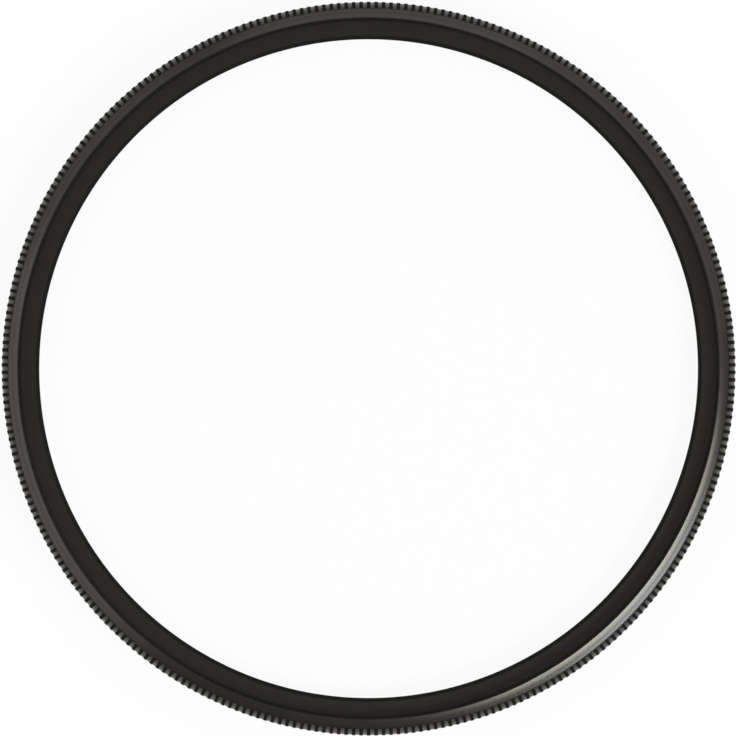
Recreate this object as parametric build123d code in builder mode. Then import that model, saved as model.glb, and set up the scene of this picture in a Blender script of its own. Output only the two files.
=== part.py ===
import os
from math import pi, radians, sqrt, tan

from build123d import *

# Screw-in lens filter, sizes in millimetres and degrees.
# +Z is the optical axis from the camera lens towards the scene, z = 0 is the end of the rear thread.

# Filter thread, the same at the rear and at the front
thread_radius = 38.5            # half the nominal diameter
thread_pitch = 0.75
male_thread_length = 2.5        # rear face to the shoulder that meets the lens
male_thread_clearance = 0.05    # crests of the rear thread below the nominal radius
male_lead_in = 0.35
relief_depth = 0.45             # groove that ends the rear thread, below its crests
relief_floor = 0.15             # flat bottom of that groove, before it slopes out to the shoulder
front_relief_depth = 0.45       # groove that ends the front thread, beyond its crests
front_relief_width = 0.85
front_recess = 2.7              # front edge down to the face of the retaining ring
mouth_chamfer = 0.14

# Grip: grooves that open to a V at the front rim, with a floor that slopes out to the rear edge
body_wall = 1.5                 # knurl crests beyond the nominal thread
knurl_pitch = 0.821
knurl_depth = 0.72              # crests beyond the rim, where the grooves start
knurl_land = 0.4                # flat left on each crest
knurl_bevel_slope = 35.0        # bevel over the front ends of the teeth, from the rim to their crests

# Front rim: a narrow flat and two shallow facets that fall away outwards
front_flat = 0.05
inner_facet_width = 0.48
inner_facet_slope = 16.0
outer_facet_slope = 20.0

# Glass pocket
pocket_wall = 1.15              # pocket below the nominal thread
lip_width = 1.2                 # ledge that carries the glass
lip_thickness = 1.2
lip_chamfer = 0.2
glass_thickness = 2.0
glass_clearance = 0.1           # round the edge of the glass
glass_proud = 0.2               # glass stands above the pocket so that the ring clamps it
glass_chamfer = 0.15

# Retaining ring, screwed in over the glass
bore_wall = 0.45                # ring bore below the nominal thread
ring_clearance = 0.05
ring_width = 2.0
ring_thickness = 1.1
ring_proud = 0.2                # ring face above the ledge where its bore ends
ring_chamfer = 0.12

# Radii worked out from the sizes above
thread_height = 5 / 8 * sqrt(3) / 2 * thread_pitch
male_radius = thread_radius - male_thread_clearance
relief_radius = male_radius - relief_depth
relief_slope = thread_radius - relief_radius    # 45 degrees, so the shoulder starts at the nominal thread
female_radius = thread_radius - thread_height
front_relief_radius = female_radius + front_relief_depth
mouth_radius = female_radius + mouth_chamfer
flat_radius = mouth_radius + front_flat
facet_radius = flat_radius + inner_facet_width
crest_radius = thread_radius + body_wall
root_radius = crest_radius - knurl_depth
pocket_radius = thread_radius - pocket_wall
lip_radius = pocket_radius - lip_width
glass_radius = pocket_radius - glass_clearance
bore_radius = thread_radius - bore_wall
ring_outer = bore_radius - ring_clearance
ring_inner = ring_outer - ring_width

# Heights worked out from the stack of lip, glass, ring and front thread
glass_top = lip_thickness + glass_thickness
relief_height = male_thread_length - relief_slope - relief_floor
step_height = glass_top - glass_proud
ring_top = glass_top + ring_thickness
ledge_height = ring_top - ring_proud
front_height = ring_top + front_recess
facet_height = front_height - inner_facet_width * tan(radians(inner_facet_slope))
root_height = facet_height - (root_radius - facet_radius) * tan(radians(outer_facet_slope))
crest_height = root_height - knurl_depth * tan(radians(knurl_bevel_slope))

# Grooves, one at each corner of the grip's blank
tooth_count = round(2 * pi * crest_radius / knurl_pitch)
groove_width = 2 * pi * crest_radius / tooth_count - knurl_land
groove_reach = crest_radius + knurl_depth       # as far beyond the crests as the rim lies inside them

os.makedirs("parts", exist_ok=True)

# Cutter for one groove
with BuildPart() as groove_cutter:
    # From the side: the floor slopes from the rim out to the rear edge of the grip
    with BuildSketch(Plane.XZ):
        Polygon(
            (root_radius, root_height),
            (crest_radius, male_thread_length),
            (groove_reach, male_thread_length),
            (groove_reach, root_height),
            align=None,
        )
    extrude(amount=groove_width, both=True)
    # From the front: upright walls that spread from a point on the rim
    with BuildSketch(Plane.XY.offset(male_thread_length)):
        Polygon(
            (root_radius, 0),
            (groove_reach, -groove_width),
            (groove_reach, groove_width),
            align=None,
        )
    extrude(amount=root_height - male_thread_length, mode=Mode.INTERSECT)

# Frame: one turned ring with both threads, the grip and the seat for the glass
with BuildPart() as filter_frame:
    # Rear spigot for the male thread
    with BuildSketch(Plane.XZ):
        with BuildLine():
            Polyline(
                (0, 0),
                (male_radius - male_lead_in, 0),
                (male_radius, male_lead_in),
                (male_radius, relief_height),
                (relief_radius, relief_height),
                (relief_radius, relief_height + relief_floor),
                (thread_radius, male_thread_length),
                (0, male_thread_length),
                close=True,
            )
        make_face()
    revolve(axis=Axis.Z)
    # Grip blank with one flat for each tooth: crests, front bevel, the two facets of the rim
    for radius, height in (
        (crest_radius, male_thread_length),
        (crest_radius, crest_height),
        (root_radius, root_height),
        (facet_radius, facet_height),
        (flat_radius, front_height),
    ):
        with BuildSketch(Plane.XY.offset(height)):
            RegularPolygon(radius, tooth_count)
    loft(ruled=True)
    # Grooves between the teeth
    with PolarLocations(0, tooth_count):
        add(groove_cutter.part, mode=Mode.SUBTRACT)
    # Inside: lip, glass pocket, ring bore and front thread
    with BuildSketch(Plane.XZ):
        with BuildLine():
            Polyline(
                (0, 0),
                (lip_radius + lip_chamfer, 0),
                (lip_radius, lip_chamfer),
                (lip_radius, lip_thickness),
                (pocket_radius, lip_thickness),
                (pocket_radius, step_height),
                (bore_radius, step_height),
                (bore_radius, ledge_height),
                (front_relief_radius, ledge_height),
                (front_relief_radius, ledge_height + front_relief_width),
                (female_radius, ledge_height + front_relief_width),
                (female_radius, front_height - mouth_chamfer),
                (mouth_radius, front_height),
                (0, front_height),
                close=True,
            )
        make_face()
    revolve(axis=Axis.Z, mode=Mode.SUBTRACT)
filter_frame.part.label = "filter_frame"
export_step(filter_frame.part, "parts/filter_frame.step")

# Glass: clear flat disc with its sharp edges taken off
with BuildPart() as filter_glass:
    with BuildSketch(Plane.XY.offset(lip_thickness)):
        Circle(glass_radius)
    extrude(amount=glass_thickness)
    chamfer(filter_glass.edges().filter_by(GeomType.CIRCLE), length=glass_chamfer)
filter_glass.part.label = "filter_glass"
export_step(filter_glass.part, "parts/filter_glass.step")

# Retaining ring: plain ring that clamps the glass on the lip
with BuildPart() as retaining_ring:
    with BuildSketch(Plane.XY.offset(glass_top)):
        Circle(ring_outer)
        Circle(ring_inner, mode=Mode.SUBTRACT)
    extrude(amount=ring_thickness)
    ring_face = retaining_ring.faces().sort_by(Axis.Z)[-1]
    chamfer(ring_face.edges().sort_by(SortBy.RADIUS)[0], length=ring_chamfer)
retaining_ring.part.label = "retaining_ring"
export_step(retaining_ring.part, "parts/retaining_ring.step")
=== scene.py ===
from math import cos, pi, radians, sin, sqrt, tan

import bpy
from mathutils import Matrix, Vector


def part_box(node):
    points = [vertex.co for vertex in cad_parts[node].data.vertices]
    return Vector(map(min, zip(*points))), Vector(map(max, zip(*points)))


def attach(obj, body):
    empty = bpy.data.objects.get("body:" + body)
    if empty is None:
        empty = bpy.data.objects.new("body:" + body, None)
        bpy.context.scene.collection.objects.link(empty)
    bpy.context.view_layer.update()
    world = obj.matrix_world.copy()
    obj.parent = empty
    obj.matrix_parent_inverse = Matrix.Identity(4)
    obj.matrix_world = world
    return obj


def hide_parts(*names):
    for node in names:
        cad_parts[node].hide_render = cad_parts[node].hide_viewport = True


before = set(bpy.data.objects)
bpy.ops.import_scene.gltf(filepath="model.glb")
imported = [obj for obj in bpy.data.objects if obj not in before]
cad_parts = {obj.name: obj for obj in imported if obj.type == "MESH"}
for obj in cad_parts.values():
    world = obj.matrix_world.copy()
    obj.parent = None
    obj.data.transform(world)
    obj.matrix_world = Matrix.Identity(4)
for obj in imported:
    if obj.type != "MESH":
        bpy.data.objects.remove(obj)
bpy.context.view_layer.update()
scene = bpy.context.scene
scene.view_settings.view_transform = "Standard"

mm = 0.001
white = (1, 1, 1, 1)
flankShare = 5 / 16         # run of one flank of a thread, as a share of its pitch


# One socket of a node tree; sums on it add Math nodes
class Wire:
    def __init__(self, graph, socket):
        self.graph = graph
        self.socket = socket

    def maths(self, operation, *values, clamp=False):
        settings = dict(operation=operation, use_clamp=clamp)
        return self.graph.node("ShaderNodeMath", settings, dict(enumerate(values)))

    def __add__(self, other):
        return self.maths("ADD", self, other)

    def __radd__(self, other):
        return self.maths("ADD", other, self)

    def __sub__(self, other):
        return self.maths("SUBTRACT", self, other)

    def __rsub__(self, other):
        return self.maths("SUBTRACT", other, self)

    def __mul__(self, other):
        return self.maths("MULTIPLY", self, other)

    def __rmul__(self, other):
        return self.maths("MULTIPLY", other, self)

    def __truediv__(self, other):
        return self.maths("DIVIDE", self, other)

    def __rtruediv__(self, other):
        return self.maths("DIVIDE", other, self)

    def __abs__(self):
        return self.maths("ABSOLUTE", self)

    def floor(self):
        return self.maths("FLOOR", self)

    def root(self):
        return self.maths("SQRT", self)

    def sine(self):
        return self.maths("SINE", self)

    def cosine(self):
        return self.maths("COSINE", self)

    def power(self, exponent):
        return self.maths("POWER", self, exponent)

    def least(self, other):
        return self.maths("MINIMUM", self, other)

    def most(self, other):
        return self.maths("MAXIMUM", self, other)

    def above(self, limit):
        return self.maths("GREATER_THAN", self, limit)

    def held(self):
        return self.maths("ADD", self, 0.0, clamp=True)  # kept between 0 and 1

    def between(self, start, end):
        return ((self - start) / (end - start)).held()


# A node tree, with one way to make any node in it
class Graph:
    def __init__(self, tree):
        self.tree = tree
        tree.nodes.clear()

    def node(self, kind, settings=None, sockets=None, output=0):
        made = self.tree.nodes.new(kind)
        for name, value in (settings or {}).items():
            setattr(made, name, value)
        for name, value in (sockets or {}).items():
            if isinstance(value, Wire):
                self.tree.links.new(value.socket, made.inputs[name])
            else:
                made.inputs[name].default_value = value
        if not len(made.outputs):
            return made
        return Wire(self, made.outputs[output])

    # the other outputs of the node that a wire comes from
    def also(self, wire, output):
        return Wire(self, wire.socket.node.outputs[output])

    def split(self, vector):
        x = self.node("ShaderNodeSeparateXYZ", sockets={0: vector})
        return x, self.also(x, 1), self.also(x, 2)

    # sockets 6 and 7 of a Mix node are its two colours, and its output 2 is the mixed one
    def blend(self, share, first, second):
        return self.node("ShaderNodeMix", dict(data_type="RGBA"), {0: share, 6: first, 7: second}, output=2)

    # size in millimetres
    def noise(self, spot, size, detail):
        sockets = {"Vector": spot, "Scale": 1 / (size * mm), "Detail": detail}
        return self.node("ShaderNodeTexNoise", None, sockets)


ringInputs = {
    "Section": "NodeSocketGeometry",
    "Teeth": "NodeSocketInt",
    "Columns per tooth": "NodeSocketInt",
    "Groove half width": "NodeSocketFloat",
    "Edge break": "NodeSocketFloat",
    "Smooth up to": "NodeSocketFloat",
    "Weld": "NodeSocketFloat",
    "Finish": "NodeSocketMaterial",
}


# Turned ring: a section swept round the axis, with grooves across it and threads along it.
# Each point of the section is a row of a grid and carries the groove and the thread at that row.
def turnedRingTree():
    tree = bpy.data.node_groups.new("turnedRing", "GeometryNodeTree")
    for name, kind in ringInputs.items():
        tree.interface.new_socket(name, in_out="INPUT", socket_type=kind)
    tree.interface.new_socket("Ring", in_out="OUTPUT", socket_type="NodeSocketGeometry")
    g = Graph(tree)
    entry = g.node("NodeGroupInput")
    section, teeth, perTooth, grooveHalf, edgeBreak, smoothLimit, weld, finish = (
        g.also(entry, name) for name in ringInputs
    )

    half = 0.5              # keeps whole numbers clear of rounding
    rows = g.node("GeometryNodeAttributeDomainSize", dict(component="MESH"), {0: section})
    columns = teeth * perTooth + 1
    sheet = g.node("GeometryNodeMeshGrid", None, {"Vertices X": rows, "Vertices Y": columns})
    index = g.node("GeometryNodeInputIndex")
    row = ((index + half) / columns).floor()
    column = index - row * columns

    def rowValue(name):
        if name == "position":
            value = g.node("GeometryNodeInputPosition")
        else:
            value = g.node("GeometryNodeInputNamedAttribute", dict(data_type="FLOAT_VECTOR"), {"Name": name})
        settings = dict(data_type="FLOAT_VECTOR", domain="POINT")
        sample = {"Geometry": section, "Value": value, "Index": row}
        return g.split(g.node("GeometryNodeSampleIndex", settings, sample))

    crestR, _, crestZ = rowValue("position")
    floorR, opening, floorOpening = rowValue("groove")
    isThread, crestHalf, pitch = rowValue("thread")
    threadCrest, threadValley, capBase = rowValue("threadRadii")
    low, high, capSlope = rowValue("threadSpan")

    # steps of half a tooth: 0 and 1 are the middle and edge of the groove's floor,
    # 2 and 3 lie over the broken edge of the land
    lastFloorStep, flankStep = 1, 2
    tooth = ((column + half) / perTooth).floor()
    place = column - tooth * perTooth
    second = place.above(perTooth / 2)
    step = place + second * (perTooth - 2 * place)
    onFloor = 1 - step.above(lastFloorStep + half)
    onLand = step.above(flankStep + half)
    onFlank = 1 - onFloor - onLand
    wide = step.least(1) * onFloor * floorOpening
    wide = wide + onFlank * (opening - edgeBreak * (opening - floorOpening))
    wide = wide + onLand * (1 + edgeBreak) * opening
    turn = (tooth + second + wide * grooveHalf * (1 - 2 * second)) / teeth
    gripR = crestR + (floorR - crestR) * (onFloor + edgeBreak * onFlank)

    # thread: the row climbs one pitch a turn and stops at the ends of the threaded length
    leastPitch = 1e-6       # rows without a thread have no pitch to divide by
    climb = pitch * turn
    threadZ = (crestZ + climb).most(low).least(high)
    phase = (threadZ - climb) / pitch.most(leastPitch)
    fromCrest = abs(phase - (phase + half).floor())
    down = ((fromCrest - crestHalf) / flankShare).held()
    threadR = (threadCrest + (threadValley - threadCrest) * down).least(capBase + capSlope * threadZ)

    r = gripR + (threadR - gripR) * isThread
    z = crestZ + (threadZ - crestZ) * isThread
    angle = turn * (2 * pi)
    spot = g.node("ShaderNodeCombineXYZ", None, {0: r * angle.cosine(), 1: r * angle.sine(), 2: z})
    ring = g.node("GeometryNodeSetPosition", None, {"Geometry": sheet, "Position": spot})
    ring = g.node("GeometryNodeMergeByDistance", None, {"Geometry": ring, "Distance": weld})
    ring = g.node("GeometryNodeSetShadeSmooth", dict(domain="FACE"), {"Geometry": ring, "Shade Smooth": True})
    sharp = g.node("GeometryNodeInputMeshEdgeAngle").above(smoothLimit)
    crease = {"Geometry": ring, "Selection": sharp, "Shade Smooth": False}
    ring = g.node("GeometryNodeSetShadeSmooth", dict(domain="EDGE"), crease)
    ring = g.node("GeometryNodeRealizeInstances", None, {"Geometry": ring})
    ring = g.node("GeometryNodeSetMaterial", None, {"Geometry": ring, "Material": finish})
    g.node("NodeGroupOutput", None, {0: ring})
    return tree


# What a row knows of its thread. The cap is the largest radius at a height, capBase + capSlope * height.
threadNames = ("on", "crestHalf", "pitch", "crest", "valley", "capBase", "capSlope", "low", "high")
noThread = dict.fromkeys(threadNames, 0.0)


# Rows of a section, in millimetres
class Section:
    def __init__(self):
        self.rows = []

    # a groove is the radius of its floor and its share of the full opening, at the top and at the floor
    def add(self, r, z, groove=None, thread=noThread):
        self.rows.append(((r, 0.0, z), groove or (r, 0.0, 0.0), thread))

    def line(self, *points):
        for r, z in points:
            self.add(r, z)

    # four rows a pitch, where the flanks of the thread begin and end
    def threaded(self, thread, downwards):
        pitch, half = thread["pitch"], thread["crestHalf"]
        places = (-half, half, half + flankShare, 1 - flankShare - half)
        spareTurns = 3      # at each end, cut back below
        turns = range(int(thread["low"] / pitch) - spareTurns, int(thread["high"] / pitch) + spareTurns)
        heights = [(turn + place) * pitch for turn in turns for place in places]
        first = max(h for h in heights if h <= thread["low"] - pitch)
        last = min(h for h in heights if h >= thread["high"])
        for height in sorted((h for h in heights if first <= h <= last), reverse=downwards):
            self.add(thread["crest"], height, thread=dict(thread, on=1.0))

    def mesh(self, name):
        made = bpy.data.meshes.new(name)
        made.from_pydata([[v * mm for v in place] for place, groove, thread in self.rows], [], [])
        columns = dict(groove=[], thread=[], threadRadii=[], threadSpan=[])
        for place, groove, thread in self.rows:
            columns["groove"] += [groove[0] * mm, groove[1], groove[2]]
            columns["thread"] += [thread["on"], thread["crestHalf"], thread["pitch"] * mm]
            columns["threadRadii"] += [thread["crest"] * mm, thread["valley"] * mm, thread["capBase"] * mm]
            columns["threadSpan"] += [thread["low"] * mm, thread["high"] * mm, thread["capSlope"]]
        for key, values in columns.items():
            made.attributes.new(key, "FLOAT_VECTOR", "POINT").data.foreach_set("vector", values)
        return made


ringTree = turnedRingTree()
weldDistance = 0.001        # mm
smoothUpTo = 28             # edges of more degrees stay sharp


def turnRing(name, section, finish, teeth, perTooth=1, grooveHalf=0.0, edgeBreak=0.0):
    piece = bpy.data.objects.new(name, section.mesh(name + "Section"))
    scene.collection.objects.link(piece)
    modifier = piece.modifiers.new("turnedRing", "NODES")
    modifier.node_group = ringTree
    values = {
        "Teeth": teeth,
        "Columns per tooth": perTooth,
        "Groove half width": grooveHalf,
        "Edge break": edgeBreak,
        "Smooth up to": radians(smoothUpTo),
        "Weld": weldDistance * mm,
        "Finish": finish,
    }
    for item in ringTree.interface.items_tree:
        if item.in_out == "INPUT" and item.name in values:
            modifier[item.identifier] = values[item.name]
    bpy.context.view_layer.update()
    evaluated = piece.evaluated_get(bpy.context.evaluated_depsgraph_get())
    plain = bpy.data.meshes.new_from_object(evaluated)
    piece.modifiers.clear()
    piece.data = plain
    plain.name = name
    print(name, "faces", len(plain.polygons))
    return piece


# Finishes, with their sizes in millimetres

anodisedLook = dict(
    black=(0.0040, 0.0038, 0.0035, 1),      # warm black of the dyed layer
    worn=(0.0085, 0.0081, 0.0074, 1),       # where hands have polished it
    wear=dict(grain=0.25, marks=0.2, cloud=0.35, less=0.25),
    paintedShade=(0.035, 0.027, 0.017, 1),          # painted shade: dull brownish colour that darkens and warms the grooves of the grip
    paintedShadeShare=0.72,
    paintedShadeFrom=0.02,                          # depth below the lands where it begins
    paintedShadeFull=0.10,                          # and where it is full
    lineShadeShare=0.34,                         # the painted shade also dims the highlight along the line between the facets
    lineReach=0.18,                         # where it fades out beside the line
    turningPitch=0.045,                     # tool marks
    turningLean=0.8,                        # how far the marks also follow the height
    turningDetail=2.0,
    grainSize=0.06,
    grainDetail=3.0,
    cloudSize=9.0,                          # broad patches
    cloudDetail=2.0,
    roughness=0.22,
    unevenness=dict(grain=0.05, marks=0.08, cloud=0.06),
    relief=dict(grain=0.25, marks=0.75),
    reliefStrength=0.10,
    reliefDepth=0.004,
    index=1.62,                             # refraction of the oxide layer
)


# landAt gives the radius of the lands at a height, and grooves lie below them and outside the rim;
# the line between the facets lies at lineAt, above lineFrom. Painted shade darkens the grooves and that line.
def anodisedBlack(landAt, rimOuter, lineAt, lineFrom, name="blackAnodised", look=anodisedLook):
    material = bpy.data.materials.new(name)
    material.use_nodes = True
    g = Graph(material.node_tree)
    spot = g.node("ShaderNodeTexCoord", output="Object")
    x, y, z = g.split(spot)
    radius = (x * x + y * y).root()
    along = (radius + look["turningLean"] * z) / (look["turningPitch"] * mm)
    turning = {"W": along, "Scale": 1.0, "Detail": look["turningDetail"]}
    marks = g.node("ShaderNodeTexNoise", dict(noise_dimensions="1D"), turning)
    grain = g.noise(spot, look["grainSize"], look["grainDetail"])
    cloud = g.noise(spot, look["cloudSize"], look["cloudDetail"])
    middle = 0.5            # of a noise
    wear, uneven, relief = look["wear"], look["unevenness"], look["relief"]
    polish = (wear["grain"] * grain + wear["marks"] * marks + wear["cloud"] * cloud - wear["less"]).held()
    rough = look["roughness"] + uneven["grain"] * (grain - middle)
    rough = rough + uneven["marks"] * (marks - middle) + uneven["cloud"] * (cloud - middle)
    normal = g.node("ShaderNodeBump", None, {
        "Strength": look["reliefStrength"],
        "Distance": look["reliefDepth"] * mm,
        "Height": relief["marks"] * marks + relief["grain"] * grain,
    })
    glossy = g.node("ShaderNodeBsdfPrincipled", None, {
        "Base Color": g.blend(polish, look["black"], look["worn"]),
        "Roughness": rough,
        "IOR": look["index"],
        "Normal": normal,
    })
    # painted shade: a dull brownish diffuse layer mixed in place of the gloss, darkening the grooves
    paintedShade = g.node("ShaderNodeBsdfDiffuse", None, {"Color": look["paintedShade"]})
    cut = (landAt(z) - radius).between(look["paintedShadeFrom"] * mm, look["paintedShadeFull"] * mm) * radius.above(rimOuter)
    # painted shade along the line between the facets, dimming the highlight there
    line = (1 - abs(radius - lineAt) / (look["lineReach"] * mm)).held() * z.above(lineFrom)
    share = look["paintedShadeShare"] * cut + look["lineShadeShare"] * line
    surface = g.node("ShaderNodeMixShader", None, {0: share, 1: glossy, 2: paintedShade})
    g.node("ShaderNodeOutputMaterial", None, {"Surface": surface})
    return material


glassLook = dict(
    tint=(0.997, 0.999, 0.998, 1),          # clear coated glass
    shine=0.003,                            # reflection seen straight on, as little as the coating leaves
    coating=(0.72, 0.86, 0.80, 1),          # colour left in the reflections by the coating
    facingBlend=0.5,
    edgePower=5.0,                          # how late the shine rises towards low angles
    wipeSize=14.0,                          # faint wipe marks
    wipeDetail=4.0,
    roughness=0.01,
    wipeRoughness=0.05,
)


def coatedGlass(name="clearGlass", look=glassLook):
    material = bpy.data.materials.new(name)
    material.use_nodes = True
    g = Graph(material.node_tree)
    spot = g.node("ShaderNodeTexCoord", output="Object")
    wipe = g.noise(spot, look["wipeSize"], look["wipeDetail"])
    rough = look["roughness"] + look["wipeRoughness"] * wipe
    shine = g.node("ShaderNodeBsdfGlossy", None, {"Color": look["coating"], "Roughness": rough})
    clear = g.node("ShaderNodeBsdfTransparent", None, {"Color": look["tint"]})
    # more shine at low angles, alike on both sides so that nothing stays trapped in the disc
    facing = g.node("ShaderNodeLayerWeight", None, {"Blend": look["facingBlend"]}, output="Facing")
    edge = look["shine"] + (1 - look["shine"]) * facing.power(look["edgePower"])
    surface = g.node("ShaderNodeMixShader", None, {0: edge, 1: clear, 2: shine})
    g.node("ShaderNodeOutputMaterial", None, {"Surface": surface})
    return material


# Frame: the turned and knurled ring. Sizes in millimetres and degrees, the outside ones come from the solid.
_, frameHigh = (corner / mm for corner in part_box("filter_frame"))
gripRadius = min(frameHigh.x, frameHigh.y)

frameSizes = dict(
    teeth=306,
    columnsPerTooth=7,          # one in the middle of a groove and three on each side of it
    land=0.40,                  # flat on a tooth
    knurlDepth=0.745,           # crests beyond the rim, where the grooves start
    floorStart=42.0,            # slope of a groove's floor at the rim
    floorEnd=86.0,              # and at the rear edge of the grip
    floorSteps=14,
    floorSpacing=1.2,           # above 1 the rows lie closer at the rim
    edgeBreak=0.10,             # of a land's edge, as a share of the groove
    flatRounding=0.03,          # between the front flat and the inner facet
    rimRounding=0.10,           # between the outer facet and the bevel
    cornerRounding=0.07,        # between the front bevel and the grip
    shoulder=2.5,               # end of the rear thread, where the grip begins
    facetLine=38.79,            # line between the two facets
    mouth=38.21,                # radius where the front opens
    mouthDepth=0.094,           # of the chamfer where the front thread begins
    frontFlat=0.06,
    innerSlope=16.0,            # of the two facets
    outerSlope=20.0,
    bevelSlope=35.0,            # over the front ends of the teeth
    lineWidth=0.06,             # shallow turned line between the facets
    lineDepth=0.002,
    threadRadius=38.5,
    threadPitch=0.75,
    maleCrest=38.45,
    maleCrestHalf=1 / 16,       # half a crest, as a share of the pitch
    femaleCrestHalf=1 / 8,
    maleLeadIn=0.35,
    reliefRadius=38.0,          # groove that ends the rear thread
    reliefFloor=0.15,
    ledge=4.24,                 # foot of the groove under the front thread
    frontRelief=38.544,
    frontReliefWidth=0.71,
    boreRadius=38.01,           # round the retaining ring
    boreFoot=3.0,
    pocketRadius=37.35,         # round the glass
    lipRadius=36.15,            # the clear opening
    lipTop=1.2,
    lipChamfer=0.2,
)


# drop of a slope for each millimetre outwards
def fall(slope):
    return tan(radians(slope))


# radii and heights of the rim, from the front flat to the front corner of the grip
def rimShape(s):
    flatEnd = s["mouth"] + s["frontFlat"]
    rimOuter = gripRadius - s["knurlDepth"]
    lineZ = frameHigh.z - (s["facetLine"] - flatEnd) * fall(s["innerSlope"])
    rimZ = lineZ - (rimOuter - s["facetLine"]) * fall(s["outerSlope"])
    cornerZ = rimZ - s["knurlDepth"] * fall(s["bevelSlope"])
    return dict(flatEnd=flatEnd, rimOuter=rimOuter, lineZ=lineZ, rimZ=rimZ, cornerZ=cornerZ)


def frameSection(s):
    top, rim = frameHigh.z, rimShape(s)
    flatEnd, rimOuter, lineZ, rimZ = rim["flatEnd"], rim["rimOuter"], rim["lineZ"], rim["rimZ"]
    section = Section()

    # front rim: narrow flat, inner facet, fine line, outer facet
    half = s["lineWidth"] / 2
    section.line(
        (s["mouth"], top),
        (flatEnd, top),
        (flatEnd + s["flatRounding"], top - s["flatRounding"] * fall(s["innerSlope"])),
        (s["facetLine"] - half, lineZ + half * fall(s["innerSlope"])),
        (s["facetLine"], lineZ - s["lineDepth"]),
        (s["facetLine"] + half, lineZ - half * fall(s["outerSlope"])),
        (rimOuter - s["rimRounding"], rimZ + s["rimRounding"] * fall(s["outerSlope"])),
    )

    # teeth: upright walls, lands over the bevel and the grip, and a floor that curves out to the rear edge
    drop = rimZ - s["shoulder"]
    startFall, endFall = fall(s["floorStart"]), fall(s["floorEnd"])
    bendR = (s["knurlDepth"] - drop / endFall) / (1 - startFall / endFall)
    bendZ = startFall * bendR
    bevelFall, soft = fall(s["bevelSlope"]), s["cornerRounding"]

    def toothRow(t):
        floorR = rimOuter + 2 * t * (1 - t) * bendR + t * t * s["knurlDepth"]
        sunk = 2 * t * (1 - t) * bendZ + t * t * drop
        # the land follows the bevel, then the grip, with the corner between them taken off
        beyond = sunk / bevelFall - s["knurlDepth"]
        r = gripRadius + (beyond - sqrt(beyond * beyond + soft * soft)) / 2
        section.add(max(r, floorR), rimZ - sunk, groove=(floorR, 1.0, 1.0))

    for i in range(s["floorSteps"] + 1):
        toothRow((i / s["floorSteps"]) ** s["floorSpacing"])

    # shoulder, the groove that ends the rear thread, and the thread with its lead-in
    slope = s["threadRadius"] - s["reliefRadius"]
    threadEnd = s["shoulder"] - slope - s["reliefFloor"]
    section.line(
        (s["threadRadius"], s["shoulder"]),
        (s["reliefRadius"], s["shoulder"] - slope),
        (s["reliefRadius"], threadEnd),
    )
    threadHeight = flankShare * sqrt(3) * s["threadPitch"]      # 60 degrees between the flanks
    section.threaded(dict(
        pitch=s["threadPitch"], crestHalf=s["maleCrestHalf"],
        crest=s["maleCrest"], valley=s["maleCrest"] - threadHeight, low=0.0, high=threadEnd,
        capBase=s["maleCrest"] - s["maleLeadIn"], capSlope=1.0,
    ), downwards=True)

    # end face, lip, glass pocket, ring bore, the groove under the front thread,
    # and that thread with its run-out
    threadStart = s["ledge"] + s["frontReliefWidth"]
    section.line(
        (s["lipRadius"] + s["lipChamfer"], 0.0),
        (s["lipRadius"], s["lipChamfer"]),
        (s["lipRadius"], s["lipTop"]),
        (s["pocketRadius"], s["lipTop"]),
        (s["pocketRadius"], s["boreFoot"]),
        (s["boreRadius"], s["boreFoot"]),
        (s["boreRadius"], s["ledge"]),
        (s["frontRelief"], s["ledge"]),
        (s["frontRelief"], threadStart),
    )
    femaleCrest = s["threadRadius"] - threadHeight
    threadTop = top - s["mouthDepth"]
    section.threaded(dict(
        pitch=s["threadPitch"], crestHalf=s["femaleCrestHalf"],
        crest=femaleCrest, valley=s["threadRadius"], low=threadStart, high=threadTop,
        capBase=femaleCrest + threadTop, capSlope=-1.0,
    ), downwards=False)
    section.line((s["mouth"], top))
    return section


# radius of the lands at a height, over the bevel and then the grip
def landAt(z, s=frameSizes):
    rim = rimShape(s)
    bevel = rim["rimOuter"] * mm + (rim["rimZ"] * mm - z) / fall(s["bevelSlope"])
    return bevel.least(gripRadius * mm)


black = anodisedBlack(
    landAt,
    rimOuter=rimShape(frameSizes)["rimOuter"] * mm,
    lineAt=frameSizes["facetLine"] * mm,
    lineFrom=frameSizes["ledge"] * mm,
)
clear = coatedGlass()
print("finishes made")

toothPitch = 2 * pi * gripRadius / frameSizes["teeth"]
knurledFrame = turnRing(
    "knurledFrame",
    frameSection(frameSizes),
    black,
    frameSizes["teeth"],
    perTooth=frameSizes["columnsPerTooth"],
    grooveHalf=(toothPitch - frameSizes["land"]) / 2 / toothPitch,
    edgeBreak=frameSizes["edgeBreak"],
)
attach(knurledFrame, "root")
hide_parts("filter_frame")

# Glass: flat disc with its edges taken off.
# It and the clamp ring have as many divisions as the grip has teeth.
glassLow, glassHigh = (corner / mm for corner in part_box("filter_glass"))
glassSizes = dict(chamfer=0.15, air=0.01)       # air keeps its faces clear of the lip and the ring


def glassSection(s):
    bottom, top = glassLow.z + s["air"], glassHigh.z - s["air"]
    outer, chamfer = glassHigh.x, s["chamfer"]
    section = Section()
    section.line(
        (0, top),
        (outer - chamfer, top),
        (outer, top - chamfer),
        (outer, bottom + chamfer),
        (outer - chamfer, bottom),
        (0, bottom),
    )
    return section


glassDisc = turnRing("glassDisc", glassSection(glassSizes), clear, frameSizes["teeth"])
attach(glassDisc, "root")
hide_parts("filter_glass")

# Retaining ring: plain ring over the edge of the glass
clampLow, clampHigh = (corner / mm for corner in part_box("retaining_ring"))
clampSizes = dict(width=2.08, innerChamfer=0.42, chamferDepth=0.34, edge=0.015)


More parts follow.
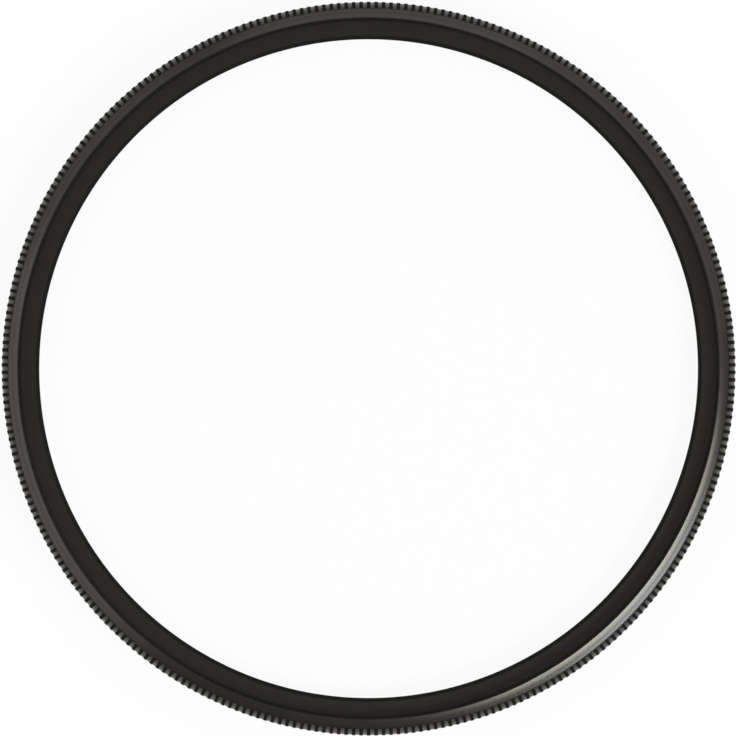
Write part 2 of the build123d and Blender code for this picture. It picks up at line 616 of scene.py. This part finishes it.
def clampSection(s):
    bottom, top = clampLow.z, clampHigh.z
    outer, inner, edge = clampHigh.x, clampHigh.x - s["width"], s["edge"]
    section = Section()
    section.line(
        (inner + s["innerChamfer"], top),
        (outer - edge, top),
        (outer, top - edge),
        (outer, bottom + edge),
        (outer - edge, bottom),
        (inner + edge, bottom),
        (inner, bottom + edge),
        (inner, top - s["chamferDepth"]),
        (inner + s["innerChamfer"], top),
    )
    return section


clampRing = turnRing("clampRing", clampSection(clampSizes), black, frameSizes["teeth"])
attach(clampRing, "root")
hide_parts("retaining_ring")
print("pieces made")

# Floor, white to the camera and with the soft shadow of the ring. Sizes in metres.
floorLook = dict(
    size=3.0,
    below=0.00002,                          # clear of the end face of the filter
    paper=(0.90, 0.90, 0.90, 1),
    glowNear=0.93,                          # share of plain white beside the filter, the rest takes shadow
    nearRadius=0.06,
    farRadius=0.30,                         # all white from here on
)


def makeFloor(s):
    half = s["size"] / 2
    corners = [(-half, -half, 0), (half, -half, 0), (half, half, 0), (-half, half, 0)]
    mesh = bpy.data.meshes.new("floor")
    mesh.from_pydata(corners, [], [(0, 1, 2, 3)])
    floor = bpy.data.objects.new("floor", mesh)
    floor.location.z = -s["below"]
    scene.collection.objects.link(floor)
    material = bpy.data.materials.new("whitePaper")
    material.use_nodes = True
    g = Graph(material.node_tree)
    x, y, _ = g.split(g.node("ShaderNodeTexCoord", output="Object"))
    away = (x * x + y * y).root().between(s["nearRadius"], s["farRadius"])
    camera = g.node("ShaderNodeLightPath", output="Is Camera Ray")
    seen = camera.most(g.also(camera, "Is Glossy Ray")).most(g.also(camera, "Is Transmission Ray"))
    glow = seen * (s["glowNear"] + (1 - s["glowNear"]) * away)
    paper = g.node("ShaderNodeBsdfDiffuse", None, {"Color": s["paper"]})
    plain = g.node("ShaderNodeEmission", None, {"Color": white, "Strength": 1.0})
    surface = g.node("ShaderNodeMixShader", None, {0: glow, 1: paper, 2: plain})
    under = g.node("ShaderNodeNewGeometry", output="Backfacing")    # see-through from below
    gone = g.node("ShaderNodeBsdfTransparent")
    surface = g.node("ShaderNodeMixShader", None, {0: under, 1: surface, 2: gone})
    g.node("ShaderNodeOutputMaterial", None, {"Surface": surface})
    mesh.materials.append(material)


makeFloor(floorLook)

# Studio: white backdrop, dim room, key panels at the lower right and fills at the left, top and right
studioLook = dict(
    ambient=(0.35, 0.35, 0.35, 1),
    overhead=(0.305, 0.29, 0.275, 1),       # what the ring mirrors from above, a little warm
    sides=(0.12, 0.113, 0.105, 1),          # and from the dark room round the table
    overheadFrom=0.80,                      # sine of the height where each begins
    sidesUpTo=0.55,
    sidesFrom=0.10,
    horizon=0.03,
)

# A panel's turn is clockwise from the top of the picture and its polar angle is from straight up, in degrees.
# Distance and size are in metres.
panelDistance = 0.60
fillColour = (1.0, 0.95, 0.89)
panels = dict(
    key=dict(turn=131.0, polar=29.8, size=(0.345, 0.147), radiance=13.9, colour=(1.0, 0.99, 0.82)),
    lowKey=dict(turn=129.5, polar=43.8, size=(0.26, 0.113), radiance=7.7, colour=(0.86, 0.86, 1.0)),
    leftFill=dict(turn=255, polar=40, size=(0.46, 0.46), radiance=1.03, colour=fillColour),
    cornerFill=dict(turn=306, polar=40, size=(0.34, 0.34), radiance=0.56, colour=fillColour),
    topFill=dict(turn=1, polar=40, size=(0.34, 0.34), radiance=0.77, colour=fillColour),
    rightFill=dict(turn=53, polar=42, size=(0.47, 0.47), radiance=0.56, colour=fillColour),
)


def makeStudio(s):
    world = bpy.data.worlds.new("studio")
    scene.world = world
    world.use_nodes = True
    g = Graph(world.node_tree)
    _, _, z = g.split(g.node("ShaderNodeTexCoord", output="Generated"))
    camera = g.node("ShaderNodeLightPath", output="Is Camera Ray")
    mirror = g.also(camera, "Is Glossy Ray").most(g.also(camera, "Is Transmission Ray"))
    room = g.blend(z.between(s["sidesUpTo"], s["overheadFrom"]), s["sides"], s["overhead"])
    room = g.blend(abs(z).between(s["horizon"], s["sidesFrom"]), white, room)
    room = g.blend(mirror, s["ambient"], room)
    room = g.blend(camera, room, white)
    sky = g.node("ShaderNodeBackground", None, {"Color": room, "Strength": 1.0})
    g.node("ShaderNodeOutputWorld", None, {"Surface": sky})


def makePanel(name, p):
    turn, polar = radians(p["turn"]), radians(p["polar"])
    towards = Vector((sin(polar) * sin(turn), sin(polar) * cos(turn), cos(polar)))
    lamp = bpy.data.lights.new(name, "AREA")
    lamp.shape = "ELLIPSE"
    lamp.size, lamp.size_y = p["size"]
    lamp.color = p["colour"]
    area = pi / 4 * lamp.size * lamp.size_y
    lamp.energy = p["radiance"] * pi * area
    panel = bpy.data.objects.new(name, lamp)
    panel.location = towards * panelDistance
    panel.rotation_euler = towards.to_track_quat("Z", "Y").to_euler()
    panel.visible_camera = False
    scene.collection.objects.link(panel)


makeStudio(studioLook)
for panelName, panelLook in panels.items():
    makePanel(panelName, panelLook)
print("studio made")

# Camera: straight above, as in the photograph. Its distance and sensor are in millimetres.
cameraLook = dict(
    distance=2000.0,            # above the front edge of the filter
    sensor=36.0,
    imageSize=736,              # pixels of the square picture
    crestPixels=367.15,         # radius of the outline in it
    rightBy=0.61,               # centre of the filter from the middle of the picture, in pixels
    downBy=0.65,
    clipStart=0.01,             # metres
    clipEnd=10.0,
)


def makeCamera(s):
    cornerZ = rimShape(frameSizes)["cornerZ"]       # the front corner of the grip is the outline
    apparent = gripRadius * s["distance"] / (s["distance"] + frameHigh.z - cornerZ)
    scale = s["crestPixels"] / apparent
    data = bpy.data.cameras.new("camera")
    data.sensor_width = s["sensor"]
    data.lens = s["distance"] * s["sensor"] / (s["imageSize"] / scale)
    data.clip_start = s["clipStart"]
    data.clip_end = s["clipEnd"]
    camera = bpy.data.objects.new("camera", data)
    place = Vector((-s["rightBy"] / scale, s["downBy"] / scale, frameHigh.z + s["distance"]))
    camera.location = place * mm
    scene.collection.objects.link(camera)
    scene.camera = camera


makeCamera(cameraLook)
print("camera made")
